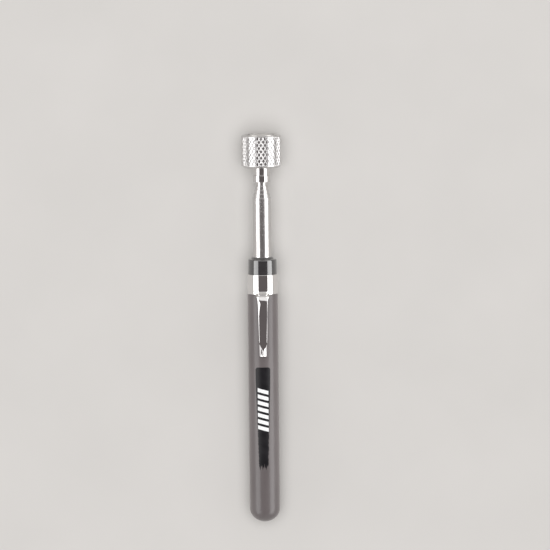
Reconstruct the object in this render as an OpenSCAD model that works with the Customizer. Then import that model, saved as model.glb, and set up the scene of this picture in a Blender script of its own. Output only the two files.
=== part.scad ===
// Telescoping magnetic pickup tool.
// A vinyl-gripped handle with a pocket clip, a mast of five nested tubes and a
// knurled head that holds a disc magnet. The closed tool lies along X with the
// magnet face at +X and the clip on top. Each piece is drawn upright, with its
// axis on Z and the domed end of the grip at zero, and lay_down() places it.

/* [Grip and handle] */
// Length of the vinyl grip, from its domed end to the clip band
grip_len = 116.3; // [110:0.1:125]
// Outside diameter of the grip
grip_d = 15.2; // [15:0.1:17]
// Height of the grip's rounded end
dome_h = 6.9; // [3:0.1:7.5]
// Outside diameter of the stiff core under the vinyl
core_d = 12.4; // [12:0.1:13]
// Length of the chrome band that carries the clip
band_len = 10; // [8:0.5:14]
// Outside diameter of the band
band_d = 15.2; // [15:0.1:16]
// Height of the black bushing above the band
bushing_len = 7.6; // [5:0.1:10]
// Bushing diameter where it meets the band
bushing_d = 14.9; // [14.5:0.1:15]

/* [Mast] */
// Length of the outer tube that shows above the bushing
outer_tube_show = 31.1; // [25:0.1:40]
// Outside diameter of the outer tube
outer_tube_d = 9.3; // [9:0.1:9.6]
// Step in diameter from one tube to the next
tube_step = 1; // [0.95:0.01:1.05]
// Wall thickness of every tube
tube_wall = 0.3; // [0.25:0.01:0.32]
// Length of each closed stage that shows past the tube around it
ring_step = 1.975; // [1.5:0.025:2.5]
// Travel of each of the four sliding stages
stage_travel = 146.05; // [120:0.05:147]

/* [Pocket clip] */
// Length of the clip, from the band's edge to its tip
clip_len = 31; // [24:0.1:40]
// Width of the clip below its shoulders
clip_w = 4.6; // [4:0.1:5]
// Width of the clip at its tip
clip_tip_w = 3.7; // [3:0.1:4]
// Thickness of the clip's sheet
clip_t = 0.5; // [0.4:0.05:0.6]

/* [Magnet head] */
// Length of the turned collar behind the head
collar_len = 7.4; // [6:0.1:10]
// Length of the head
head_len = 16.55; // [15:0.05:20]
// Outside diameter of the knurled sleeve
head_d = 20.1; // [19:0.1:22]
// Diameter of the magnet
magnet_d = 11.8; // [10:0.1:12]

/* [Hidden] */

$fn = 96;
tiny = 0.02;       // gap between pieces that are fixed together
run_gap = 0.03;    // radial clearance of a sliding fit
cut = 1;           // how far a cutting solid runs past the face it cuts

// Stations along the tool, from the domed end of the grip
band_s = grip_len;
bushing_s = band_s + band_len;
bushing_top_s = bushing_s + bushing_len;
outer_top_s = bushing_top_s + outer_tube_show;
collar_s = outer_top_s + 4 * ring_step;
head_s = collar_s + collar_len;
tool_len = head_s + head_len;
axis_h = head_d / 2;

// Grip and core
grip_r = grip_d / 2;
core_r = core_d / 2;
core_s = 3.5;
core_bore_r = outer_tube_d / 2 + 0.05;
grip_edge = 0.4;

// Mast
last_tube = 5;
lip_h = 1;
lip_round = 0.3;
end_gap = 0.05;
outer_base_s = 6;
stage_base_s = outer_base_s + 1.8;
bush_len = outer_top_s - lip_h - stage_travel - end_gap - stage_base_s;
bush_slot = 0.8;
bead_h = 0.6;
bead_out = 0.12;
foot_in = 0.35;    // how far a rolled foot reaches in under the next tube
foot_gap = 0.08;   // rest gap between that foot and the next tube

function tube_r(k) = (outer_tube_d - tube_step * (k - 1)) / 2;
function tube_bore_r(k) = tube_r(k) - tube_wall;
function tube_top_s(k) = outer_top_s + ring_step * (k - 1);
function tube_base_s(k) = k == 1 ? outer_base_s : stage_base_s + ring_step * (k - 2);

// Bushing
spigot_r = band_d / 2 - 0.55;
band_bore_r = spigot_r + tiny;
inner_spigot_r = 5.5;
inner_spigot_len = 8;
bushing_bore_r = tube_r(1) + tiny;
bushing_collar_r = 5.3;
bushing_collar_h = 1;

// Clip, as distances out from the tool's axis along the strip's middle
clip_gap = 0.08;
clip_root_out = band_d / 2 + 0.5;
clip_bump_out = clip_root_out + 1.3;
clip_arm_out = clip_root_out + 0.75;
clip_foot_out = grip_r + 0.65;
clip_tip_out = clip_foot_out + 0.75;
clip_foot_len = 4.1;     // turned-up foot
clip_flat_len = 1.6;     // level stretch above the foot
clip_tip_chamfer = 0.6;
shoulder_w = 7.2;
shoulder_len = 3.6;
flare_len = 3.8;

// Head
tube_5_top_s = head_s - 1.8;
collar_r = 4.4;
collar_neck_r = 3.95;
collar_neck_s = head_s - 3.9;
sleeve_floor = 4;
sleeve_proud = 0.2;
cup_r = 8.2;
cup_wall = 1.5;
cup_floor = 2.2;
cup_s = head_s + sleeve_floor + tiny;
magnet_s = cup_s + cup_floor + tiny;
screw_r = 1.5;
screw_head_r = 2.8;
screw_head_h = 1.3;
screw_clear = 0.1;
screw_end_s = head_s - 6.3;

// Places an upright piece in the tool's lying frame
module lay_down() {
    translate([-tool_len / 2, 0, axis_h])
        rotate([0, 90, 0])
            children();
}

// A turned piece from its half outline of [radius, station] points
module turned(outline) {
    lay_down()
        rotate_extrude()
            polygon(outline);
}

// Quarter ellipse from the axis out to the full radius, for the domed end
function dome(r, h, steps = 12) =
    [for (i = [0 : steps]) [r * sin(90 * i / steps), h * (1 - cos(90 * i / steps))]];

// Quarter round that turns an outer corner inwards at station s
function round_top(r, s, q, steps = 4) =
    [for (i = [0 : steps]) [r - q * (1 - cos(90 * i / steps)), s - q * (1 - sin(90 * i / steps))]];

// Soft vinyl sleeve with a closed, domed end
module grip_sleeve() {
    bore = core_r + tiny;
    color([0.30, 0.27, 0.28])
        turned(concat(
            dome(grip_r, dome_h),
            round_top(grip_r, grip_len - tiny, grip_edge),
            [[bore, grip_len - tiny], [bore, core_s], [0, core_s]]
        ));
}

// Stiff plastic tube that the vinyl is pushed over
module handle_core() {
    counter_r = inner_spigot_r + tiny;
    counter_s = grip_len - inner_spigot_len - 0.1;
    top = grip_len - 0.1;
    color([0.12, 0.12, 0.13])
        turned([
            [core_bore_r, core_s + tiny], [core_r, core_s + tiny], [core_r, top],
            [counter_r, top], [counter_r, counter_s], [core_bore_r, counter_s]
        ]);
}

// Plug that closes the bottom of the outer tube
module end_plug() {
    flange_r = core_bore_r - tiny;
    spigot = tube_bore_r(1) - tiny;
    top = stage_base_s - end_gap;
    color([0.12, 0.12, 0.13])
        turned([
            [0, core_s + tiny], [flange_r, core_s + tiny], [flange_r, outer_base_s - tiny],
            [spigot, outer_base_s - tiny], [spigot, top], [0, top]
        ]);
}

// Glossy black panel on the front of the grip
module label_panel() {
    panel_s = 28.5;
    panel_len = 51;
    panel_w = 7.2;
    film = 0.06;
    color([0.06, 0.06, 0.07])
        lay_down()
            intersection() {
                difference() {
                    cylinder(r = grip_r + tiny + film, h = grip_len);
                    translate([0, 0, -cut])
                        cylinder(r = grip_r + tiny, h = grip_len + 2 * cut);
                }
                translate([-2 * grip_r, -panel_w / 2, panel_s])
                    cube([2 * grip_r, panel_w, panel_len]);
            }
}

// Plastic bushing that centres the mast, with a stepped spigot for band and core
module neck_bushing() {
    shoulder_r = bushing_d / 2 - 0.2;
    edge = 1.2;
    foot_s = band_s - inner_spigot_len;
    color([0.07, 0.07, 0.08])
        turned(concat(
            [
                [bushing_bore_r, foot_s], [inner_spigot_r, foot_s],
                [inner_spigot_r, band_s], [spigot_r, band_s],
                [spigot_r, bushing_s], [bushing_d / 2, bushing_s + tiny]
            ],
            round_top(shoulder_r, bushing_top_s, edge),
            [
                [bushing_collar_r + 0.6, bushing_top_s + 0.1],
                [bushing_collar_r, bushing_top_s + bushing_collar_h],
                [bushing_bore_r, bushing_top_s + bushing_collar_h]
            ]
        ));
}

// Side outline of a strip of thickness t along [out, station] points
function strip_side(path, t) = concat(
    [for (p = path) [-p[0] - t / 2, p[1]]],
    [for (i = [len(path) - 1 : -1 : 0]) [-path[i][0] + t / 2, path[i][1]]]
);

// Chrome band round the bushing, with the flared lip that the clip grows from
module clip_band() {
    edge = 0.2;
    r = band_d / 2;
    lip = [
        [clip_root_out, band_s + tiny],
        [clip_root_out - 0.25, band_s + flare_len / 3],
        [r - clip_t / 2, band_s + flare_len]
    ];
    color([0.80, 0.80, 0.82])
        union() {
            turned(concat(
                [[band_bore_r, band_s + tiny], [r - edge, band_s + tiny], [r, band_s + tiny + edge]],
                round_top(r, bushing_s, edge, 2),
                [[band_bore_r, bushing_s]]
            ));
            lay_down()
                rotate([90, 0, 0])
                    linear_extrude(height = shoulder_w, center = true)
                        polygon(strip_side(lip, clip_t));
        }
}

// Sprung pocket clip: a raised bump at the band, a straight arm, a turned-up tip
module pocket_clip() {
    root = band_s - clip_gap;
    tip = band_s - clip_len;
    side = [
        [clip_root_out, root],
        [clip_bump_out - 0.2, root - 1],
        [clip_bump_out, root - 2],
        [clip_bump_out - 0.2, root - 3.2],
        [clip_arm_out, root - 4.6],
        [clip_foot_out, tip + clip_foot_len + clip_flat_len],
        [clip_foot_out, tip + clip_foot_len],
        [clip_tip_out, tip]
    ];
    plan = [
        [-shoulder_w / 2, root], [-clip_w / 2, root - shoulder_len],
        [-clip_tip_w / 2, tip + clip_tip_chamfer], [-clip_tip_w / 2 + clip_tip_chamfer, tip],
        [clip_tip_w / 2 - clip_tip_chamfer, tip], [clip_tip_w / 2, tip + clip_tip_chamfer],
        [clip_w / 2, root - shoulder_len], [shoulder_w / 2, root]
    ];
    color([0.80, 0.80, 0.82])
        lay_down()
            intersection() {
                rotate([90, 0, 0])
                    linear_extrude(height = 2 * shoulder_w, center = true)
                        polygon(strip_side(side, clip_t));
                rotate([90, 0, -90])
                    linear_extrude(height = 2 * clip_tip_out)
                        polygon(plan);
            }
}

// One mast tube: a rolled lip at the top and, on a sliding stage, a rolled foot
module mast_tube(k) {
    r = tube_r(k);
    bore = tube_bore_r(k);
    base = tube_base_s(k);
    top = tube_top_s(k);
    lip_r = tube_r(k + 1) + run_gap;
    foot_r = k == 1 ? bore : tube_r(k + 1) - foot_in;
    foot_top = base + ring_step - foot_gap;
    color([0.80, 0.80, 0.82])
        turned(concat(
            [[foot_r, base], [r, base]],
            round_top(r, top, lip_round),
            [[lip_r, top], [lip_r, top - lip_h], [bore, top - lip_h], [bore, foot_top], [foot_r, foot_top]]
        ));
}

module tube_1() { mast_tube(1); }
module tube_2() { mast_tube(2); }
module tube_3() { mast_tube(3); }
module tube_4() { mast_tube(4); }

// Innermost tube: two rolled beads hold its bush, and the collar takes its top
module tube_5() {
    r = tube_r(last_tube);
    bore = tube_bore_r(last_tube);
    base = tube_base_s(last_tube);
    bead_r = r + bead_out;
    upper = base + bush_len - bead_h;
    color([0.80, 0.80, 0.82])
        turned([
            [bore, base], [bead_r, base], [bead_r, base + bead_h], [r, base + bead_h],
            [r, upper], [bead_r, upper], [bead_r, upper + bead_h], [r, upper + bead_h],
            [r, tube_5_top_s], [bore, tube_5_top_s]
        ]);
}

// Split brass bush round the base of stage k: it grips the tube outside and is its stop
module stop_bush(k, trim = 0, fit = tiny / 2) {
    base = tube_base_s(k) + trim;
    h = bush_len - 2 * trim;
    outer = tube_bore_r(k - 1) - run_gap;
    color([0.72, 0.56, 0.26])
        lay_down()
            translate([0, 0, base])
                difference() {
                    cylinder(r = outer, h = h);
                    translate([0, 0, -cut])
                        cylinder(r = tube_r(k) + fit, h = h + 2 * cut);
                    translate([0, -bush_slot / 2, -cut])
                        cube([2 * outer, bush_slot, h + 2 * cut]);
                }
}

module stop_bush_2() { stop_bush(2); }
module stop_bush_3() { stop_bush(3); }
module stop_bush_4() { stop_bush(4); }
module stop_bush_5() { stop_bush(last_tube, bead_h + end_gap, tiny); }

// Turned collar that joins the innermost tube to the head
module head_collar() {
    edge = 0.35;
    bore = tube_r(last_tube) + tiny;
    seat = tube_5_top_s + tiny;
    hole = screw_r + screw_clear;
    top = head_s - tiny;
    color([0.80, 0.80, 0.82])
        turned([
            [bore, collar_s], [collar_r - edge, collar_s], [collar_r, collar_s + edge],
            [collar_r, collar_neck_s - edge], [collar_r - edge, collar_neck_s],
            [collar_neck_r, collar_neck_s], [collar_neck_r, top],
            [hole, top], [hole, seat], [bore, seat]
        ]);
}

// Threaded plug inside the top of the innermost tube
module tip_plug() {
    r = tube_bore_r(last_tube) - tiny;
    base = screw_end_s - 2.5;
    hole = screw_r + tiny;
    color([0.60, 0.60, 0.62])
        turned([
            [0, base], [r, base], [r, tube_5_top_s], [hole, tube_5_top_s],
            [hole, screw_end_s - 0.5], [0, screw_end_s - 0.5]
        ]);
}

// Countersunk screw through the head into the plug
module head_screw() {
    top = magnet_s - 2 * tiny;
    slot_w = 0.7;
    slot_d = 0.6;
    color([0.55, 0.55, 0.57])
        difference() {
            turned([
                [0, screw_end_s], [screw_r, screw_end_s], [screw_r, top - screw_head_h],
                [screw_head_r, top], [0, top]
            ]);
            lay_down()
                translate([-screw_head_r - cut, -slot_w / 2, top - slot_d])
                    cube([2 * (screw_head_r + cut), slot_w, slot_d + cut]);
        }
}

// Knurled outer sleeve of the head
module knurled_sleeve() {
    r = head_d / 2;
    back_edge = 1;
    front_edge = 0.5;
    top = tool_len - sleeve_proud;
    pocket = cup_r + tiny;
    hole = screw_r + screw_clear;
    color([0.78, 0.78, 0.80])
        turned([
            [hole, head_s], [r - back_edge, head_s], [r, head_s + back_edge],
            [r, top - front_edge], [r - front_edge, top], [pocket, top],
            [pocket, head_s + sleeve_floor], [hole, head_s + sleeve_floor]
        ]);
}

// Steel cup that carries the magnet's field to the face
module pole_cup() {
    inner = cup_r - cup_wall;
    floor_s = cup_s + cup_floor;
    edge = 0.15;
    hole = screw_r + screw_clear;
    sink = screw_head_r + screw_clear;
    color([0.62, 0.62, 0.64])
        turned([
            [hole, cup_s], [cup_r, cup_s], [cup_r, tool_len - edge], [cup_r - edge, tool_len],
            [inner, tool_len], [inner, floor_s], [sink, floor_s],
            [hole, floor_s - screw_head_h]
        ]);
}

// Nylon ring that centres the magnet in its cup
module spacer_ring() {
    outer = cup_r - cup_wall - tiny;
    inner = magnet_d / 2 + tiny;
    top = tool_len - 0.25;
    color([0.10, 0.10, 0.11])
        turned([[inner, magnet_s], [outer, magnet_s], [outer, top], [inner, top]]);
}

// Nickel-plated disc magnet, flush with the cup's rim
module magnet_disc() {
    r = magnet_d / 2;
    edge = 0.2;
    color([0.70, 0.69, 0.68])
        turned([[0, magnet_s], [r, magnet_s], [r, tool_len - edge], [r - edge, tool_len], [0, tool_len]]);
}

grip_sleeve();
handle_core();
end_plug();
label_panel();
neck_bushing();
clip_band();
pocket_clip();
tube_1();
tube_2();
tube_3();
tube_4();
tube_5();
stop_bush_2();
stop_bush_3();
stop_bush_4();
stop_bush_5();
head_collar();
tip_plug();
head_screw();
knurled_sleeve();
pole_cup();
spacer_ring();
magnet_disc();
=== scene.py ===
"""Looks of a telescoping magnetic pickup tool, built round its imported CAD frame."""
import math

import bmesh
import bpy
import numpy as np
from mathutils import Matrix, Vector


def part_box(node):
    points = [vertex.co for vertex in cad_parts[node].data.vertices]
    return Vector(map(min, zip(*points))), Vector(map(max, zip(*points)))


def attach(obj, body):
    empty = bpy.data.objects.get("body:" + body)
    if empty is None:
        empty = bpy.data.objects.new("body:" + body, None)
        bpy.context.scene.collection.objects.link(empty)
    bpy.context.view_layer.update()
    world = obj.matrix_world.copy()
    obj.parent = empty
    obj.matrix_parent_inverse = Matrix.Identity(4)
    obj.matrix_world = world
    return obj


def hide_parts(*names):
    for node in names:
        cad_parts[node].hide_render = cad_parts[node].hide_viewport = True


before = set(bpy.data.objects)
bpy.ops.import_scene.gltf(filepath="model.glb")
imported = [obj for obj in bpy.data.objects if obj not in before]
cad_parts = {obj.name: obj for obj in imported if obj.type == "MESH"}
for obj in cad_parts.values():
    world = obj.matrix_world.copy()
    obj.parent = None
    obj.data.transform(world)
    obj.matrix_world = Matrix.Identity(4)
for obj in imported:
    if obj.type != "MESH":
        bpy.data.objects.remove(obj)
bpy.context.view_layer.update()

MM = 0.001

# ---------------------------------------------------------------- places from the frame

GRIP_LO, GRIP_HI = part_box("grip_sleeve")
BAND_LO, BAND_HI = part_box("clip_band")
BUSH_LO, BUSH_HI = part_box("neck_bushing")
CLIP_LO, CLIP_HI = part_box("pocket_clip")
COLLAR_LO, COLLAR_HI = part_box("head_collar")
SLEEVE_LO, SLEEVE_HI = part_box("knurled_sleeve")
CUP_LO, CUP_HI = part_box("pole_cup")
RING_LO, RING_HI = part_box("spacer_ring")
MAGNET_LO, MAGNET_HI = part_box("magnet_disc")
LABEL_LO, LABEL_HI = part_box("label_panel")

AXIS_Z = (SLEEVE_LO.z + SLEEVE_HI.z) / 2
GRIP_R = (GRIP_HI.y - GRIP_LO.y) / 2
BAND_R = (BAND_HI.y - BAND_LO.y) / 2
HEAD_R = (SLEEVE_HI.y - SLEEVE_LO.y) / 2

# ---------------------------------------------------------------- sizes the frame doesn't give

DOME_H = 6.9 * MM         # height of the grip's rounded end
TUBE_WALL = 0.3 * MM
RUN_GAP = 0.03 * MM       # radial clearance of a sliding fit
SCREW_HOLE_R = 1.6 * MM

KNURL_COUNT = 34
KNURL_PITCH = 3.2 * MM
KNURL_DEPTH = 0.175 * MM
KNURL_TOP = 0.6           # share of a full pyramid that is left under its flat top
KNURL_MARGIN = 0.55 * MM  # from the sleeve's front end to the knurl, whose pattern is counted from
                          # as far in from the rear end; there the knurl starts past the chamfer
KNURL_FADE = 0.5 * MM     # length over which the knurl comes up to full depth
KNURL_STEPS = 20          # mesh steps across and along one diamond
BACK_CHAMFER = 1.0 * MM   # on the sleeve's rear edge
FRONT_CHAMFER = 0.5 * MM  # on the sleeve's front edge

SHARP_DEG = 35.0          # edges bent more than this shade as sharp
RELIEF_STEP = 0.005 * MM  # relief difference above which a quad is split
ROUND_SHARE = 0.45        # most of a side that one corner's round may use
SUPPORT_SHARE = 0.48      # most of a side that a round and its support point may use

# ---------------------------------------------------------------- mesh helpers


def smooth01(t):
    """Smooth step of t, held to the range 0 to 1."""
    t = np.clip(t, 0.0, 1.0)
    return t * t * (3 - 2 * t)


def keyed(keys, u):
    """Smooth value at u through (u, value) keys, by cubic Hermite pieces."""
    us = np.array([k[0] for k in keys], float)
    vs = np.array([k[1] for k in keys], float)
    slopes = np.gradient(vs, us)
    i = int(np.clip(np.searchsorted(us, u) - 1, 0, len(us) - 2))
    h = us[i + 1] - us[i]
    t = (u - us[i]) / h
    return float(
        (2 * t**3 - 3 * t**2 + 1) * vs[i] + (t**3 - 2 * t**2 + t) * h * slopes[i]
        + (-2 * t**3 + 3 * t**2) * vs[i + 1] + (t**3 - t**2) * h * slopes[i + 1]
    )


def new_mesh(name, verts, faces, sharp_deg=SHARP_DEG):
    """A mesh object with smooth shading that breaks at its sharp edges."""
    mesh = bpy.data.meshes.new(name)
    mesh.from_pydata([tuple(map(float, v)) for v in verts], [], faces)
    mesh.validate()
    mesh.shade_smooth()
    mesh.set_sharp_from_angle(angle=math.radians(sharp_deg))
    obj = bpy.data.objects.new(name, mesh)
    bpy.context.scene.collection.objects.link(obj)
    return obj


def fillet(points, support=0.12 * MM, steps=5):
    """Rounds the corners of a closed outline of (x, r, radius) points.

    Each round gets a support point on both sides, so that the long straight
    stretches between the rounds shade as straight.
    """
    out = []
    count = len(points)
    for i, (x, r, radius) in enumerate(points):
        here = np.array((x, r))
        before = np.array(points[i - 1][:2]) - here
        after = np.array(points[(i + 1) % count][:2]) - here
        len_b, len_a = np.linalg.norm(before), np.linalg.norm(after)
        before, after = before / len_b, after / len_a
        if radius <= 0:
            out.append(tuple(here))
            continue
        half = math.acos(np.clip(before @ after, -1, 1)) / 2
        reach = min(radius / math.tan(half), ROUND_SHARE * len_b, ROUND_SHARE * len_a)
        radius = reach * math.tan(half)
        middle = (before + after) / np.linalg.norm(before + after)
        centre = here + middle * radius / math.sin(half)
        start, end = here + before * reach, here + after * reach
        if reach + support < SUPPORT_SHARE * len_b:
            out.append(tuple(start + before * support))
        a0 = math.atan2(*(start - centre)[::-1])
        a1 = math.atan2(*(end - centre)[::-1])
        turn = (a1 - a0 + math.pi) % (2 * math.pi) - math.pi
        for k in range(steps + 1):
            a = a0 + turn * k / steps
            out.append((centre[0] + radius * math.cos(a), centre[1] + radius * math.sin(a)))
        if reach + support < SUPPORT_SHARE * len_a:
            out.append(tuple(end + after * support))
    return out


def lathe(name, loop, segments=128, relief=None, angles=None, sharp_deg=SHARP_DEG):
    """A turned solid about the tool's axis from a loop of (x, r) points.

    A loop that starts and ends on the axis is capped with fans there. relief
    takes arrays of angle, x and r and returns how far the surface moves outwards.
    """
    loop = np.array(loop, float)
    if angles is None:
        angles = np.arange(segments) * 2 * math.pi / segments
    n, m = len(angles), len(loop)
    on_axis = loop[:, 1] < 1e-9
    theta, x = np.meshgrid(angles, loop[:, 0])
    r = np.repeat(loop[:, 1:2], n, axis=1)
    if relief is not None:
        r = r + relief(theta, x, r)
    grid = np.stack([x, r * np.sin(theta), AXIS_Z + r * np.cos(theta)], axis=-1)
    verts, index = [], np.zeros((m, n), int)
    for i in range(m):
        if on_axis[i]:
            index[i, :] = len(verts)
            verts.append((loop[i, 0], 0.0, AXIS_Z))
        else:
            index[i, :] = np.arange(n) + len(verts)
            verts.extend(grid[i])
    faces = []
    for i in range(m):
        k = (i + 1) % m
        if on_axis[i] and on_axis[k]:
            continue
        for j in range(n):
            q = (j + 1) % n
            quad = [index[i, j], index[i, q], index[k, q], index[k, j]]
            face = list(dict.fromkeys(int(corner) for corner in quad))
            # Split a quad along the diagonal that follows the relief
            one, two = abs(r[i, j] - r[k, q]), abs(r[i, q] - r[k, j])
            if relief is not None and len(face) == 4 and abs(one - two) > RELIEF_STEP:
                a, b, c, d = face if one < two else face[1:] + face[:1]
                faces.extend([[a, b, c], [a, c, d]])
            elif len(face) > 2:
                faces.append(face)
    obj = new_mesh(name, verts, faces, sharp_deg)
    fix_normals(obj)
    return obj


def fix_normals(obj):
    """Turns every face outwards."""
    bm = bmesh.new()
    bm.from_mesh(obj.data)
    bmesh.ops.recalc_face_normals(bm, faces=bm.faces)
    bm.to_mesh(obj.data)
    bm.free()


def sweep(name, sections):
    """A closed solid through a list of closed sections with equal point counts."""
    n, m = len(sections[0]), len(sections)
    verts = [p for section in sections for p in section]
    faces = []
    for i in range(m - 1):
        for j in range(n):
            k = (j + 1) % n
            faces.append([i * n + j, i * n + k, (i + 1) * n + k, (i + 1) * n + j])
    faces.append(list(range(n)))
    faces.append([(m - 1) * n + j for j in range(n)])
    obj = new_mesh(name, verts, faces)
    fix_normals(obj)
    return obj


def piece(obj, body, slot, material, *nodes):
    """Gives a piece its material and its body, and hides the CAD nodes it stands for."""
    obj.data.materials.clear()
    obj.data.materials.append(material)
    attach(obj, body)
    if nodes:
        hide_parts(*nodes)
    return obj


# ---------------------------------------------------------------- material helpers


class Shader:
    """A Principled material with short calls for the nodes used here."""

    def __init__(self, name, **sockets):
        self.mat = bpy.data.materials.new(name)
        self.mat.use_nodes = True
        self.tree = self.mat.node_tree
        self.bsdf = self.tree.nodes["Principled BSDF"]
        for key, value in sockets.items():
            self.bsdf.inputs[key.replace("_", " ")].default_value = value
        self.coords = self.tree.nodes.new("ShaderNodeTexCoord")

    def link(self, source, target):
        self.tree.links.new(source, target)

    def noise(self, size_mm, stretch=(1, 1, 1), detail=3.0, rough=0.5, offset=(0, 0, 0)):
        """Noise whose features are about size_mm across, longer where stretch is over 1."""
        mapping = self.tree.nodes.new("ShaderNodeMapping")
        mapping.inputs["Scale"].default_value = [1 / s for s in stretch]
        mapping.inputs["Location"].default_value = offset
        tex = self.tree.nodes.new("ShaderNodeTexNoise")
        tex.inputs["Scale"].default_value = 1 / (size_mm * MM)
        tex.inputs["Detail"].default_value = detail
        tex.inputs["Roughness"].default_value = rough
        self.link(self.coords.outputs["Object"], mapping.inputs["Vector"])
        self.link(mapping.outputs["Vector"], tex.inputs["Vector"])
        return tex.outputs["Fac"]

    def ranged(self, value, low, high, out_low, out_high):
        """Maps a value from low..high to out_low..out_high, clamped."""
        node = self.tree.nodes.new("ShaderNodeMapRange")
        limits = {"From Min": low, "From Max": high, "To Min": out_low, "To Max": out_high}
        for key, number in limits.items():
            node.inputs[key].default_value = number
        self.link(value, node.inputs["Value"])
        return node.outputs["Result"]

    def math(self, operation, a, b):
        """Result of a Math node on numbers or node outputs."""
        node = self.tree.nodes.new("ShaderNodeMath")
        node.operation = operation
        for socket, value in zip(node.inputs, (a, b)):
            if isinstance(value, (int, float)):
                socket.default_value = value
            else:
                self.link(value, socket)
        return node.outputs["Value"]

    def mix(self, factor, a, b):
        """Colour between a and b."""
        node = self.tree.nodes.new("ShaderNodeMix")
        node.data_type = "RGBA"
        self.link(factor, node.inputs["Factor"])
        node.inputs["A"].default_value = (*a, 1)
        node.inputs["B"].default_value = (*b, 1)
        return node.outputs["Result"]

    def bump(self, height, depth_mm, strength, under=None):
        """Bumped normal, on top of another bump where under is given."""
        node = self.tree.nodes.new("ShaderNodeBump")
        node.inputs["Strength"].default_value = strength
        node.inputs["Distance"].default_value = depth_mm * MM
        self.link(height, node.inputs["Height"])
        if under is not None:
            self.link(under, node.inputs["Normal"])
        return node.outputs["Normal"]

    def to(self, value, socket):
        """Sends a node output to one of the shader's sockets."""
        self.link(value, self.bsdf.inputs[socket])

    def place(self):
        """Radius from the tool's axis and x along it, as node outputs."""
        split = self.tree.nodes.new("ShaderNodeSeparateXYZ")
        self.link(self.coords.outputs["Object"], split.inputs["Vector"])
        up = self.math("SUBTRACT", split.outputs["Z"], AXIS_Z)
        across = self.math("POWER", split.outputs["Y"], 2)
        squares = self.math("ADD", across, self.math("POWER", up, 2))
        return self.math("SQRT", squares, 0), split.outputs["X"]


def chrome(name, colour, rough, line_mm=0.10):
    """Bright plating: fine lines along the piece, cloudy handling marks and faint pits."""
    line_depth, wave_depth = 0.0006, 0.03
    s = Shader(name, Metallic=1.0, Anisotropic=0.2)
    cloud = s.noise(6.0, stretch=(2.5, 1, 1), detail=4.0)
    lines = s.noise(line_mm, stretch=(60, 1, 1), detail=2.0)
    pits = s.noise(0.9, detail=5.0, rough=0.7, offset=(0.3, 0.1, 0.2))
    tint = s.mix(s.ranged(cloud, 0.3, 0.7, 0.0, 1.0), colour, tuple(0.93 * c for c in colour))
    s.to(tint, "Base Color")
    marks = s.ranged(pits, 0.58, 0.75, 0.0, 0.10)
    base = s.ranged(cloud, 0.35, 0.7, rough[0], rough[1])
    s.to(s.math("ADD", base, marks), "Roughness")
    wave = s.noise(4.5, stretch=(2, 1, 1), detail=1.0, offset=(0.1, 0.7, 0.4))
    s.to(s.bump(lines, line_depth, 0.5, s.bump(wave, wave_depth, 1.0)), "Normal")
    return s.mat


def vinyl(name):
    """Soft dipped vinyl: charcoal, satin, faintly cloudy, with a very fine skin."""
    dark, light = (0.089, 0.076, 0.077), (0.112, 0.097, 0.098)
    s = Shader(
        name, IOR=1.46, Sheen_Weight=0.12, Sheen_Roughness=0.5, Coat_Weight=0.3,
        Coat_Roughness=0.16,
    )
    cloud = s.noise(11.0, stretch=(2.2, 1, 1), detail=4.0)
    skin = s.noise(0.22, detail=3.0)
    sag = s.noise(9.0, stretch=(4, 1, 1), detail=1.0, offset=(0.2, 0, 0))
    dust = s.noise(0.7, detail=6.0, rough=0.75, offset=(0.5, 0.4, 0.1))
    s.to(s.mix(s.ranged(cloud, 0.3, 0.7, 0.0, 1.0), dark, light), "Base Color")
    haze = s.ranged(dust, 0.5, 0.8, 0.0, 0.14)
    s.to(s.math("ADD", s.ranged(cloud, 0.3, 0.7, 0.36, 0.48), haze), "Roughness")
    s.to(s.bump(skin, 0.010, 0.35, s.bump(sag, 0.10, 0.5)), "Normal")
    return s.mat


def gloss_plastic(name, dark, light, rough, coat, ior):
    """Moulded gloss plastic with faint swirls and fine rubs."""
    s = Shader(name, IOR=ior, Coat_Weight=coat, Coat_IOR=1.9, Coat_Roughness=0.03)
    cloud = s.noise(5.0, detail=4.0)
    rubs = s.noise(0.12, stretch=(1, 14, 14), detail=2.0)
    s.to(s.mix(s.ranged(cloud, 0.3, 0.7, 0.0, 1.0), dark, light), "Base Color")
    s.to(s.ranged(cloud, 0.3, 0.75, rough[0], rough[1]), "Roughness")
    s.to(s.bump(rubs, 0.0015, 0.4), "Normal")
    return s.mat


def matt_plastic(name, colour):
    """Plain moulded plastic with a fine spark texture."""
    s = Shader(name, IOR=1.48)
    grain = s.noise(0.25, detail=4.0)
    cloud = s.noise(4.0)
    light = tuple(1.35 * c for c in colour)
    s.to(s.mix(s.ranged(cloud, 0.3, 0.7, 0.0, 1.0), colour, light), "Base Color")
    s.to(s.ranged(grain, 0.3, 0.7, 0.45, 0.6), "Roughness")
    s.to(s.bump(grain, 0.008, 0.5), "Normal")
    return s.mat


def turned_metal(name, colour, rough=(0.16, 0.30), ring_mm=0.16):
    """Metal with the rings that a lathe tool leaves on an end face."""
    s = Shader(name, Metallic=1.0)
    radius, _ = s.place()
    rings = s.tree.nodes.new("ShaderNodeTexNoise")
    rings.noise_dimensions = "1D"
    rings.inputs["Scale"].default_value = 1 / (ring_mm * MM)
    rings.inputs["Detail"].default_value = 3.0
    s.link(radius, rings.inputs["W"])
    scuff = s.noise(1.6, detail=6.0, rough=0.7)
    worn = tuple(0.82 * c for c in colour)
    s.to(s.mix(s.ranged(scuff, 0.4, 0.7, 0.0, 1.0), colour, worn), "Base Color")
    s.to(s.ranged(scuff, 0.35, 0.7, rough[0], rough[1]), "Roughness")
    s.to(s.bump(rings.outputs["Fac"], 0.004, 0.5), "Normal")
    return s.mat


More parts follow.
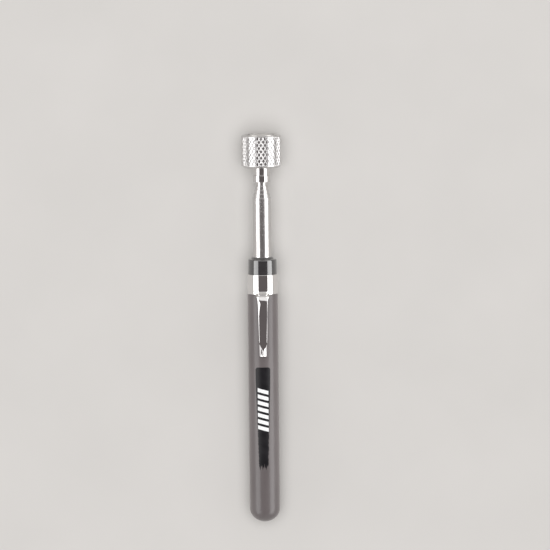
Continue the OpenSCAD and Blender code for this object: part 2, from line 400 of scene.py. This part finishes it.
def knurled_metal(name, colour, shade_colour):
    """Bright plating over a knurl, with painted shade darkening the grooves, which are also made
    rougher.
    """
    s = Shader(name, Metallic=1.0)
    radius, x = s.place()
    back, front = SLEEVE_LO.x + 1.0 * MM, SLEEVE_HI.x - 0.6 * MM
    soft = 0.1 * MM
    # Painted shade: the base colour darkens patchily towards the bottoms of the knurl's grooves,
    # between its plain ends; the same mask makes the grooves rougher.
    deep = s.ranged(radius, HEAD_R - KNURL_DEPTH, HEAD_R - 0.25 * KNURL_DEPTH, 1.0, 0.0)
    past_back = s.ranged(x, back - soft, back + soft, 0.0, 1.0)
    past_front = s.ranged(x, front - soft, front + soft, 1.0, 0.0)
    shade_patches = s.noise(1.1, detail=5.0, rough=0.65)
    painted_shade = s.math("MULTIPLY", s.math("MULTIPLY", deep, past_back), past_front)
    painted_shade = s.math("MULTIPLY", painted_shade, s.ranged(shade_patches, 0.3, 0.65, 0.55, 1.0))
    s.to(s.mix(painted_shade, colour, shade_colour), "Base Color")
    scuff = s.noise(0.35, detail=4.0, rough=0.6, offset=(0.2, 0.4, 0))
    base = s.ranged(scuff, 0.35, 0.7, 0.12, 0.22)
    s.to(s.math("ADD", base, s.math("MULTIPLY", painted_shade, 0.25)), "Roughness")
    s.to(s.bump(scuff, 0.004, 0.4), "Normal")
    return s.mat


def printed_ink(name, colour):
    """Screen-printed ink with slightly uneven cover."""
    s = Shader(name, IOR=1.5)
    cover = s.noise(0.5, detail=5.0, rough=0.6)
    thin = tuple(0.86 * c for c in colour)
    s.to(s.mix(s.ranged(cover, 0.35, 0.6, 0.0, 1.0), thin, colour), "Base Color")
    s.to(s.ranged(cover, 0.3, 0.7, 0.35, 0.5), "Roughness")
    s.to(s.bump(cover, 0.003, 0.4), "Normal")
    return s.mat


MAST_CHROME = chrome("mast_chrome", (0.62, 0.605, 0.60), rough=(0.20, 0.28))
CLIP_CHROME = chrome("clip_chrome", (0.76, 0.745, 0.74), rough=(0.04, 0.09), line_mm=0.14)
COLLAR_CHROME = chrome("collar_chrome", (0.66, 0.645, 0.64), rough=(0.08, 0.15))
# The second colour is painted shade for the bottoms of the knurl's grooves.
HEAD_CHROME = knurled_metal("head_chrome", (0.62, 0.61, 0.61), (0.09, 0.085, 0.085))
GRIP_VINYL = vinyl("grip_vinyl")
LABEL_FOIL = gloss_plastic(
    "label_foil", (0.006, 0.0055, 0.007), (0.011, 0.010, 0.012), (0.32, 0.45), coat=0.0, ior=1.33
)
BUSHING_PLASTIC = gloss_plastic(
    "bushing_plastic", (0.010, 0.0095, 0.011), (0.020, 0.019, 0.021), (0.10, 0.20), coat=1.0, ior=1.5
)
CORE_PLASTIC = matt_plastic("core_plastic", (0.03, 0.03, 0.033))
RING_NYLON = matt_plastic("ring_nylon", (0.035, 0.035, 0.038))
CUP_STEEL = turned_metal("cup_steel", (0.62, 0.61, 0.60))
MAGNET_NICKEL = turned_metal("magnet_nickel", (0.70, 0.68, 0.65), (0.10, 0.24), 0.5)
PLAIN_STEEL = turned_metal("plain_steel", (0.52, 0.52, 0.54))
BUSH_BRASS = turned_metal("bush_brass", (0.78, 0.57, 0.25))
MARK_INK = printed_ink("mark_ink", (0.78, 0.79, 0.80))

# ---------------------------------------------------------------- grip and label


def make_grip():
    """Vinyl sleeve with a domed end and a softly rounded mouth."""
    bore = 6.22 * MM
    blind = GRIP_LO.x + 3.5 * MM
    mouth_x = GRIP_HI.x - 20 * MM
    steps = 28
    dome = [
        (GRIP_LO.x + DOME_H * (1 - math.cos(a)), GRIP_R * math.sin(a))
        for a in np.linspace(0, math.pi / 2, steps)
    ]
    mouth = fillet([
        (mouth_x, GRIP_R, 0), (GRIP_HI.x, GRIP_R, 0.4 * MM),
        (GRIP_HI.x, bore, 0.1 * MM), (mouth_x, bore, 0),
    ])
    straight = [(x, GRIP_R) for x in np.linspace(dome[-1][0], mouth_x, 24)[1:-1]]
    loop = dome + straight + mouth + [(blind, bore), (blind, 0.0)]
    piece(lathe("grip", loop, 160), "handle", "grip_vinyl", GRIP_VINYL, "grip_sleeve")


def wrap(x, y, r):
    """Point on the front of the grip at radius r, a distance y round from its middle."""
    a = y / r
    return (x, r * math.sin(a), AXIS_Z + r * math.cos(a))


def film_patch(stations, low, high, columns, drawn):
    """Thin closed patch wrapped on the grip. stations are (x, y_from, y_to).

    drawn takes a row's share of the way up and a column's share across and
    returns how far that point draws back towards the mast.
    """
    rows = len(stations)
    verts = []
    for r in (low, high):
        for i, (x, y0, y1) in enumerate(stations):
            for j, y in enumerate(np.linspace(y0, y1, columns)):
                back = drawn(i / (rows - 1), j / (columns - 1))
                verts.append(wrap(x + back, y, r))
    top = rows * columns

    def at(i, j, layer):
        return layer * top + i * columns + j

    faces = []
    for i in range(rows - 1):
        for j in range(columns - 1):
            faces.append([at(i, j, 1), at(i + 1, j, 1), at(i + 1, j + 1, 1), at(i, j + 1, 1)])
            faces.append([at(i, j, 0), at(i, j + 1, 0), at(i + 1, j + 1, 0), at(i + 1, j, 0)])
    rim = [(i, 0) for i in range(rows)] + [(rows - 1, j) for j in range(1, columns)]
    rim += [(i, columns - 1) for i in range(rows - 2, -1, -1)]
    rim += [(0, j) for j in range(columns - 2, 0, -1)]
    for k, (i, j) in enumerate(rim):
        p, q = rim[(k + 1) % len(rim)]
        faces.append([at(i, j, 0), at(i, j, 1), at(p, q, 1), at(p, q, 0)])
    return verts, faces


def join_parts(name, parts):
    """One mesh object from several (vertices, faces) parts."""
    verts, faces = [], []
    for v, f in parts:
        base = len(verts)
        verts.extend(v)
        faces.extend([[base + q for q in face] for face in f])
    obj = new_mesh(name, verts, faces)
    fix_normals(obj)
    return obj


LABEL_SHIFT = 0.38 * MM   # the printed panel sits a little to one side of the clip


def make_label():
    """Black printed panel: rounded corners at the top, narrower and worn at the bottom."""
    corner = 1.3 * MM
    halves = [(0.0, 2.35), (0.25, 2.7), (0.55, 3.2), (0.85, 3.8), (1.0, 3.9)]
    ends = np.array([0, 0.02, 0.08, 0.18, 0.32, 0.5, 0.72, 1.0]) * corner
    inner = np.linspace(LABEL_LO.x, LABEL_HI.x - corner, 90)[:-1]
    stations = []
    for k, x in enumerate(list(inner) + [LABEL_HI.x - e for e in ends[::-1]]):
        share = (x - LABEL_LO.x) / (LABEL_HI.x - LABEL_LO.x)
        half = keyed(halves, share) * MM
        near = LABEL_HI.x - x
        if near < corner:
            half -= corner - math.sqrt(max(corner**2 - (corner - near) ** 2, 0.0))
        fray = 0.16 * MM * float(smooth01((0.75 - share) / 0.5))
        stations.append((
            x,
            LABEL_SHIFT - half + fray * math.sin(5.1 * k + 1.3 * math.sin(0.7 * k)),
            LABEL_SHIFT + half + fray * math.sin(3.7 * k + 1.9 * math.sin(0.9 * k)),
        ))

    def worn(up, across):
        reach = float(smooth01(1 - up / 0.16))
        return reach * (0.3 + 0.9 * math.sin(19 * across) + 0.8 * math.sin(47 * across + 1)) * MM

    low, high = GRIP_R + 0.01 * MM, GRIP_R + 0.05 * MM
    obj = join_parts("label_panel_film", [film_patch(stations, low, high, 40, worn)])
    piece(obj, "handle", "label_foil", LABEL_FOIL, "label_panel")


def make_mark():
    """Generic mark on the label: a row of plain slanted bars."""
    count, bar, gap = 7, 1.9 * MM, 1.25 * MM
    half, lean = 2.75 * MM, 1.5 * MM
    low, high = GRIP_R + 0.03 * MM, GRIP_R + 0.08 * MM
    first = LABEL_HI.x - 11.2 * MM
    bars = []
    for k in range(count):
        x1 = first - k * (bar + gap) - bar
        stations = [(x1 + bar * t, LABEL_SHIFT - half, LABEL_SHIFT + half) for t in (0, 0.5, 1)]
        bars.append(film_patch(stations, low, high, 18, lambda up, across: lean * (across - 0.5)))
    piece(join_parts("label_mark_bars", bars), "handle", "label_foil", MARK_INK)


# ---------------------------------------------------------------- bushing, band and clip


def make_bushing():
    """Gloss bushing with a rounded shoulder and a low collar round the mast."""
    bore, spigot, seat = 4.67 * MM, 5.5 * MM, 7.05 * MM
    foot, top = 7.45 * MM, 7.22 * MM
    collar_foot, collar = 5.85 * MM, 5.3 * MM
    shoulder = BUSH_HI.x - 1.0 * MM
    loop = fillet([
        (BUSH_LO.x, bore, 0), (BUSH_LO.x, spigot, 0.2 * MM),
        (GRIP_HI.x, spigot, 0), (GRIP_HI.x + 0.1 * MM, seat, 0),
        (BAND_HI.x, seat, 0), (BAND_HI.x + 0.02 * MM, foot, 0.15 * MM),
        (shoulder, top, 1.2 * MM), (shoulder + 0.12 * MM, collar_foot, 0.15 * MM),
        (BUSH_HI.x, collar, 0.25 * MM), (BUSH_HI.x, bore, 0.1 * MM),
    ])
    obj = lathe("neck_bushing_gloss", loop, 128)
    piece(obj, "handle", "bushing_plastic", BUSHING_PLASTIC, "neck_bushing")


ROOT_HALF = 3.6 * MM      # half the width of the tongue where band and clip meet
ROOT_LIFT = 1.0 * MM      # how far the tongue stands off the band there
ROOT_SHOULDER = 1.9 * MM  # width over which each side of the tongue comes up
FLARE_LEN = 1.45 * MM
FLARE_TAIL = 1.2 * MM     # how far past the flare the last of its lift has gone
FLARE_FADE = 1.0 * MM     # length over which that last lift goes
FLARE_BEND = 0.12 * MM    # roundness of the bend where the flare starts
SHEET = 0.5 * MM          # thickness of the clip


def tongue_lift(y):
    """Lift of the band's edge across the tongue, zero at its shoulders."""
    return ROOT_LIFT * smooth01((ROOT_HALF - np.abs(y)) / ROOT_SHOULDER)


def make_band():
    """Chrome ring whose lower edge swells into the clip's tongue."""
    inner = 7.12 * MM
    lo, hi = BAND_LO.x, BAND_HI.x
    flare_end = lo + FLARE_LEN + FLARE_TAIL
    flare_xs = np.linspace(lo + 0.5 * MM, flare_end, 22)
    loop = fillet(
        [(lo, inner, 0), (lo, BAND_R, 0.2 * MM)] + [(x, BAND_R, 0) for x in flare_xs]
        + [(hi, BAND_R, 0.22 * MM), (hi, inner, 0.1 * MM)] + [(x, inner, 0) for x in flare_xs[::-1]]
    )

    def relief(theta, x, r):
        theta = (theta + math.pi) % (2 * math.pi) - math.pi
        reach = FLARE_LEN - (x - lo)
        rise = (np.sqrt(reach**2 + FLARE_BEND**2) + reach) / (2 * FLARE_LEN)
        rise = rise * smooth01((flare_end - x) / FLARE_FADE)
        lift = tongue_lift(BAND_R * np.sin(theta)) * rise * np.cos(theta)
        return np.where(np.abs(theta) < math.pi / 2, lift, 0.0)

    fine = np.radians(np.arange(-40, 40, 1.0))
    coarse = np.radians(np.arange(40, 320, 2.5))
    obj = lathe("clip_band_ring", loop, relief=relief, angles=np.concatenate([fine, coarse]))
    piece(obj, "handle", "clip_chrome", CLIP_CHROME, "clip_band")


# Clip, as (distance from its root, value) keys in millimetres: height of the crest over the
# tool's axis, half the width, and how far each edge drops below the crest. CLIP_SQUARE has the
# power that shapes the crown on each side: the higher, the squarer.
CLIP_CREST = [
    (0, 8.6), (0.6, 8.98), (1.3, 9.22), (2.1, 9.4), (2.9, 9.51), (3.3, 9.53), (3.8, 9.47),
    (4.8, 9.27), (6.2, 9.04), (15, 8.74), (24, 8.48), (30.92, 8.30),
]
CLIP_HALF = [
    (0, 3.6), (0.8, 3.1), (1.8, 2.68), (3.2, 2.46), (5, 2.36), (15, 2.14), (25, 1.9), (29.7, 1.79),
    (30.92, 1.76),
]
CLIP_DROP = {
    1: [(0, 1.2), (1.0, 0.6), (2.6, 0.42), (4.2, 0.6), (6.5, 0.46), (9, 0.32), (12, 0.25), (16, 0.21),
        (24, 0.17), (30.92, 0.1)],
    -1: [(0, 1.2), (1.0, 0.6), (2.4, 0.34), (4.2, 0.22), (7, 0.19), (24, 0.17), (30.92, 0.12)],
}
CLIP_SQUARE = {
    1: [(0, 2.6), (2.6, 3.4), (4.2, 2.3), (8, 2.6), (12, 3.4), (19, 4.0), (30.92, 4.0)],
    -1: [(0, 2.6), (2.6, 3.4), (4.2, 4.5), (8, 5.0), (24, 5.0), (30.92, 4.0)],
}
FOOT_START = 27.9         # where the middle of the foot starts to turn up
FOOT_LEAD = 3.4           # how much sooner the edges start
FOOT_SLOPE = 0.2
FOOT_BEND = 0.25          # roundness of the bend
CLIP_CORNER = 0.5         # radius of the tip's corners
ROOT_BLEND = 0.8          # length over which the clip's shape takes over from the band's


def foot_rise(u, v):
    """How far the foot has turned up at u along the clip and v across it, in millimetres."""
    past = u - FOOT_START + FOOT_LEAD * abs(v) ** 1.2
    return FOOT_SLOPE * (math.hypot(past, FOOT_BEND) + past) / 2


def make_clip():
    """Sprung clip: a raised bump, a crowned arm and a foot that turns up in a V."""
    root, length = CLIP_HI.x, CLIP_HI.x - CLIP_LO.x
    last = CLIP_CREST[-1][0]
    scale = length / (last * MM)
    bump_end, arm_end = 6, 24
    us = np.concatenate([
        np.linspace(0, bump_end, 42), np.linspace(bump_end, arm_end, 28)[1:],
        np.linspace(arm_end, last - CLIP_CORNER, 40)[1:],
        last - CLIP_CORNER * np.linspace(1, 0, 9)[1:] ** 2,
    ])
    vs = np.sin(np.linspace(-1, 1, 37) * math.pi / 2)
    sections = []
    for u in us:
        crest, half = keyed(CLIP_CREST, u), keyed(CLIP_HALF, u)
        drop = {side: keyed(CLIP_DROP[side], u) for side in (1, -1)}
        square = {side: keyed(CLIP_SQUARE[side], u) for side in (1, -1)}
        left = last - u
        if left < CLIP_CORNER:
            half -= CLIP_CORNER - math.sqrt(max(CLIP_CORNER**2 - (CLIP_CORNER - left) ** 2, 0.0))
        blend = float(smooth01(u / ROOT_BLEND))
        x = root - u * MM * scale
        top = []
        for v in vs:
            y = v * half * MM
            side = 1 if v >= 0 else -1
            own = (crest - drop[side] * abs(v) ** square[side] + foot_rise(u, v)) * MM
            band = math.sqrt(max(BAND_R**2 - y * y, 0)) + float(tongue_lift(y))
            top.append((x, y, AXIS_Z + own * blend + band * (1 - blend)))
        under = [(x, p[1], p[2] - SHEET) for p in reversed(top)]
        sections.append(top + under)
    obj = sweep("pocket_clip_strip", sections)
    bevel = obj.modifiers.new("edge", "BEVEL")
    bevel.width = 0.1 * MM
    bevel.segments = 3
    bevel.limit_method = "ANGLE"
    bevel.angle_limit = math.radians(50)
    piece(obj, "clip", "clip_chrome", CLIP_CHROME, "pocket_clip")


# ---------------------------------------------------------------- mast


def make_tubes():
    """The five tubes, each with a rolled lip round the next one."""
    bodies = {1: "handle", 2: "stage_2", 3: "stage_3", 4: "stage_4", 5: "head"}
    boxes = {k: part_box(f"tube_{k}") for k in bodies}
    radii = {k: (hi.y - lo.y) / 2 for k, (lo, hi) in boxes.items()}
    innermost = max(bodies)
    lip_len = 1.0 * MM
    radii[innermost] -= 0.12 * MM  # its box is as wide as the beads that hold its bush
    for k, body in bodies.items():
        lo, hi = boxes[k]
        r, bore = radii[k], radii[k] - TUBE_WALL
        if k == innermost:
            loop = fillet([
                (lo.x, bore, 0), (lo.x, r, 0.05 * MM), (hi.x, r, 0.05 * MM), (hi.x, bore, 0),
            ])
        else:
            lip = radii[k + 1] + RUN_GAP
            inner_lip = hi.x - lip_len
            loop = fillet([
                (lo.x, bore, 0), (lo.x, r, 0.05 * MM), (hi.x, r, 0.32 * MM),
                (hi.x, lip, 0.08 * MM), (inner_lip, lip, 0), (inner_lip, bore, 0),
            ])
        obj = lathe(f"mast_tube_{k}", loop, 96)
        piece(obj, body, "mast_chrome", MAST_CHROME, f"tube_{k}")


def make_collar():
    """Turned collar in two steps."""
    lo, hi = COLLAR_LO.x, COLLAR_HI.x
    step = hi - 3.9 * MM
    bore, wide, neck = 2.67 * MM, 4.4 * MM, 3.95 * MM
    seat = hi - 1.76 * MM
    loop = fillet([
        (lo, bore, 0.05 * MM), (lo, wide, 0.35 * MM), (step, wide, 0.3 * MM),
        (step + 0.05 * MM, neck, 0.05 * MM), (hi, neck, 0),
        (hi, SCREW_HOLE_R, 0), (seat, SCREW_HOLE_R, 0), (seat, bore, 0),
    ])
    obj = lathe("head_collar_turned", loop, 96)
    piece(obj, "head", "collar_chrome", COLLAR_CHROME, "head_collar")


# ---------------------------------------------------------------- magnet head


def ridge(t):
    """Triangle wave: 0 at whole numbers and 1 halfway between them."""
    return 1 - np.abs(2 * (t - np.floor(t)) - 1)


def knurl_relief(theta, x, r):
    """Flat-topped diamonds cut by two crossed families of grooves, fading at both ends."""
    start, end = SLEEVE_LO.x + KNURL_MARGIN, SLEEVE_HI.x - KNURL_MARGIN
    a = KNURL_COUNT * theta / (2 * math.pi) + (x - start) / KNURL_PITCH
    b = KNURL_COUNT * theta / (2 * math.pi) - (x - start) / KNURL_PITCH
    height = np.minimum(ridge(a), ridge(b)) * 2
    height = np.minimum(height, KNURL_TOP) / KNURL_TOP
    fade_in = smooth01((x - SLEEVE_LO.x - BACK_CHAMFER) / KNURL_FADE)
    fade = fade_in * smooth01((end - x) / KNURL_FADE)
    outside = r > HEAD_R - 1.2 * MM
    return np.where(outside, -KNURL_DEPTH * (1 - height) * fade, 0.0)


def make_head_sleeve():
    """Knurled sleeve: chamfered at the back, a narrow plain rim in front."""
    lo, hi = SLEEVE_LO.x, SLEEVE_HI.x
    pocket, hole = 8.22 * MM, SCREW_HOLE_R
    floor = lo + 4.0 * MM
    back, front = BACK_CHAMFER, FRONT_CHAMFER
    loop = fillet([
        (lo, hole, 0), (lo, HEAD_R - back, 0.2 * MM), (lo + back, HEAD_R, 0.15 * MM),
        (hi - front, HEAD_R, 0.12 * MM), (hi, HEAD_R - front, 0.12 * MM),
        (hi, pocket, 0.08 * MM), (floor, pocket, 0), (floor, hole, 0),
    ])
    # The outline's plain stretch gets a row of points for each mesh step of the knurl
    at = next(i for i, p in enumerate(loop) if p[0] > lo + back + 0.2 * MM)
    last = max(i for i, p in enumerate(loop) if p[1] > HEAD_R - 1e-9)
    step = KNURL_PITCH / KNURL_STEPS
    xs = lo + KNURL_MARGIN + step * np.arange(-2, (hi - lo) / step)
    xs = [x for x in xs if loop[at - 1][0] + 0.3 * step < x < loop[last][0] - 0.3 * step]
    loop = loop[:at] + [(x, HEAD_R) for x in xs] + loop[at:]
    obj = lathe(
        "knurled_sleeve_head", loop, KNURL_COUNT * KNURL_STEPS, relief=knurl_relief, sharp_deg=24.0
    )
    piece(obj, "head", "head_chrome", HEAD_CHROME, "knurled_sleeve")


def make_head_face():
    """Steel cup, nylon ring and nickel-plated magnet at the working face."""
    cup_r, cup_bore = 8.2 * MM, 6.7 * MM
    cup_floor = CUP_LO.x + 2.2 * MM
    cup_loop = fillet([
        (CUP_LO.x, SCREW_HOLE_R, 0), (CUP_LO.x, cup_r, 0.1 * MM), (CUP_HI.x, cup_r, 0.16 * MM),
        (CUP_HI.x, cup_bore, 0.12 * MM), (cup_floor, cup_bore, 0), (cup_floor, SCREW_HOLE_R, 0),
    ])
    piece(lathe("pole_cup_steel", cup_loop, 128), "head", "cup_steel", CUP_STEEL, "pole_cup")
    ring_bore, ring_r = 5.92 * MM, 6.68 * MM
    ring_loop = fillet([
        (RING_LO.x, ring_bore, 0), (RING_LO.x, ring_r, 0),
        (RING_HI.x, ring_r, 0.08 * MM), (RING_HI.x, ring_bore, 0.08 * MM),
    ])
    obj = lathe("spacer_ring_nylon", ring_loop, 128)
    piece(obj, "head", "ring_nylon", RING_NYLON, "spacer_ring")
    magnet_r, fan_r = (MAGNET_HI.y - MAGNET_LO.y) / 2, 2 * MM
    magnet_loop = [(MAGNET_LO.x, 0.0)] + fillet([
        (MAGNET_LO.x, fan_r, 0), (MAGNET_LO.x, magnet_r, 0.2 * MM),
        (MAGNET_HI.x, magnet_r, 0.25 * MM), (MAGNET_HI.x, fan_r, 0),
    ]) + [(MAGNET_HI.x, 0.0)]
    obj = lathe("magnet_disc_nickel", magnet_loop, 128)
    piece(obj, "head", "magnet_nickel", MAGNET_NICKEL, "magnet_disc")


def dress_cad_nodes():
    """Materials of the CAD nodes that stay as they are."""
    for node, material in {
        "handle_core": CORE_PLASTIC, "end_plug": CORE_PLASTIC,
        "stop_bush_2": BUSH_BRASS, "stop_bush_3": BUSH_BRASS,
        "stop_bush_4": BUSH_BRASS, "stop_bush_5": BUSH_BRASS,
        "tip_plug": PLAIN_STEEL, "head_screw": PLAIN_STEEL,
    }.items():
        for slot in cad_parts[node].material_slots:
            slot.material = material


# ---------------------------------------------------------------- studio

FLOOR_HALF = 6.0                 # half the floor's side
LIGHT_DISTANCE = 0.8
# Softboxes beside the tool: lowest and highest angle from straight up, side in y, radiance
SIDE_BOXES = {"right": (40, 79, -1, 3.2), "left": (34, 72, 1, 2.8)}
SIDE_BOX_LEN = 1.7
END_TIP_DEG, END_SIZE, END_RADIANCE = 30, (1.0, 0.6), 1.0
FLOOR_IRRADIANCE, FLOOR_SUN_DEG = 2.5, 70
# The room: sine of the height angle up to which it is pale, then from which it is dark
PALE_UP_TO, PALE = 0.45, (0.665, 0.645, 0.623, 1)
DARK_FROM, DARK = 0.72, (0.15, 0.134, 0.134, 1)
CAMERA_DISTANCE = 2.4
CAMERA_TILT_DEG = 5.8            # from straight above towards the magnet end
CAMERA_LEAN_DEG = -0.6           # turn about the line of sight
FRAME_HEIGHT = 0.2779            # what the picture spans at the tool


def make_floor():
    """Pale floor, tipped a little so that the head's rim and the grip's end both rest on it."""
    s = Shader("studio_floor", IOR=1.4, Roughness=0.75)
    cloud = s.noise(60.0, detail=3.0)
    dark, light = (0.60, 0.588, 0.57), (0.625, 0.612, 0.594)
    s.to(s.mix(s.ranged(cloud, 0.3, 0.7, 0.0, 1.0), dark, light), "Base Color")
    rest_a = Vector((SLEEVE_LO.x + BACK_CHAMFER, 0, 0))
    rest_b = Vector((GRIP_LO.x + DOME_H, 0, AXIS_Z - GRIP_R))
    slope = (rest_b.z - rest_a.z) / (rest_b.x - rest_a.x)
    gap = 0.02 * MM
    verts = []
    for sx, sy in ((-1, -1), (1, -1), (1, 1), (-1, 1)):
        x, y = sx * FLOOR_HALF, sy * FLOOR_HALF
        verts.append((x, y, rest_a.z + slope * (x - rest_a.x) - gap))
    floor = new_mesh("floor", verts, [[0, 1, 2, 3]])
    floor.data.materials.append(s.mat)
    return floor


def softbox(name, centre, target, size, radiance):
    """Rectangular studio light. Its power follows from its size and radiance."""
    data = bpy.data.lights.new(name, "AREA")
    data.shape = "RECTANGLE"
    data.size, data.size_y = size
    data.energy = radiance * math.pi * size[0] * size[1]
    light = bpy.data.objects.new(name, data)
    light.location = centre
    light.rotation_mode = "QUATERNION"
    aim = (Vector(target) - Vector(centre)).normalized()
    along = Vector((1, 0, 0))
    light.rotation_quaternion = Matrix((aim.cross(along), along, -aim)).transposed().to_quaternion()
    light.visible_camera = False
    bpy.context.scene.collection.objects.link(light)
    return light


def receivers(name, floor, state):
    """A light-linking collection that takes the floor in or leaves it out."""
    group = bpy.data.collections.new(name)
    group.objects.link(floor)
    group.collection_objects[0].light_linking.link_state = state
    return group


def make_lights(floor):
    """Two long softboxes beside the tool with a dark gap over it, one beyond the magnet end,
    and a wide soft light from straight above that falls on the floor alone."""
    tool_only = receivers("tool_light_receivers", floor, "EXCLUDE")
    target = Vector((0.03, 0, AXIS_Z))
    for name, (low, high, side, radiance) in SIDE_BOXES.items():
        middle, half = math.radians((low + high) / 2), math.radians((high - low) / 2)
        aim = Vector((0, side * math.sin(middle), math.cos(middle)))
        size = (2 * LIGHT_DISTANCE * math.tan(half), SIDE_BOX_LEN)
        light = softbox(f"softbox_{name}", target + LIGHT_DISTANCE * aim, target, size, radiance)
        light.light_linking.receiver_collection = tool_only
    tip = math.radians(END_TIP_DEG)
    centre = target + LIGHT_DISTANCE * Vector((math.sin(tip), 0, math.cos(tip)))
    light = softbox("softbox_end", centre, target, END_SIZE, END_RADIANCE)
    light.light_linking.receiver_collection = tool_only
    data = bpy.data.lights.new("floor_light", "SUN")
    data.energy = FLOOR_IRRADIANCE
    data.angle = math.radians(FLOOR_SUN_DEG)
    overhead = bpy.data.objects.new("floor_light", data)
    overhead.light_linking.receiver_collection = receivers("floor_light_receivers", floor, "INCLUDE")
    bpy.context.scene.collection.objects.link(overhead)


def make_world():
    """Room that is pale up to well above the horizon and dark overhead."""
    world = bpy.data.worlds.new("studio_world")
    bpy.context.scene.world = world
    world.use_nodes = True
    tree = world.node_tree
    back = tree.nodes["Background"]
    coords = tree.nodes.new("ShaderNodeTexCoord")
    split = tree.nodes.new("ShaderNodeSeparateXYZ")
    ramp = tree.nodes.new("ShaderNodeValToRGB")
    tree.links.new(coords.outputs["Generated"], split.inputs["Vector"])
    tree.links.new(split.outputs["Z"], ramp.inputs["Fac"])
    tree.links.new(ramp.outputs["Color"], back.inputs["Color"])
    stops = ramp.color_ramp.elements
    stops[0].position, stops[0].color = PALE_UP_TO, PALE
    stops[1].position, stops[1].color = DARK_FROM, DARK
    back.inputs["Strength"].default_value = 1.0


def make_camera():
    """Long lens over the tool, seen from slightly beyond the magnet end, magnet up."""
    data = bpy.data.cameras.new("camera")
    data.sensor_width = 36.0
    tilt = math.radians(CAMERA_TILT_DEG)
    data.lens = data.sensor_width * CAMERA_DISTANCE / FRAME_HEIGHT
    camera = bpy.data.objects.new("camera", data)
    target = Vector((0.0272, -0.0063, AXIS_Z))
    back = Vector((math.sin(tilt), 0, math.cos(tilt)))
    camera.location = target + CAMERA_DISTANCE * back
    right = Vector((0, -1, 0))
    up = back.cross(right)
    turn = Matrix((right, up, back)).transposed()
    lean = Matrix.Rotation(math.radians(CAMERA_LEAN_DEG), 3, "Z")
    camera.rotation_mode = "QUATERNION"
    camera.rotation_quaternion = (turn @ lean).to_quaternion()
    bpy.context.scene.collection.objects.link(camera)
    bpy.context.scene.camera = camera


make_grip()
make_label()
make_mark()
make_bushing()
make_band()
make_clip()
make_tubes()
make_collar()
make_head_sleeve()
make_head_face()
dress_cad_nodes()
make_lights(make_floor())
make_world()
make_camera()

bpy.context.scene.view_settings.view_transform = "Standard"
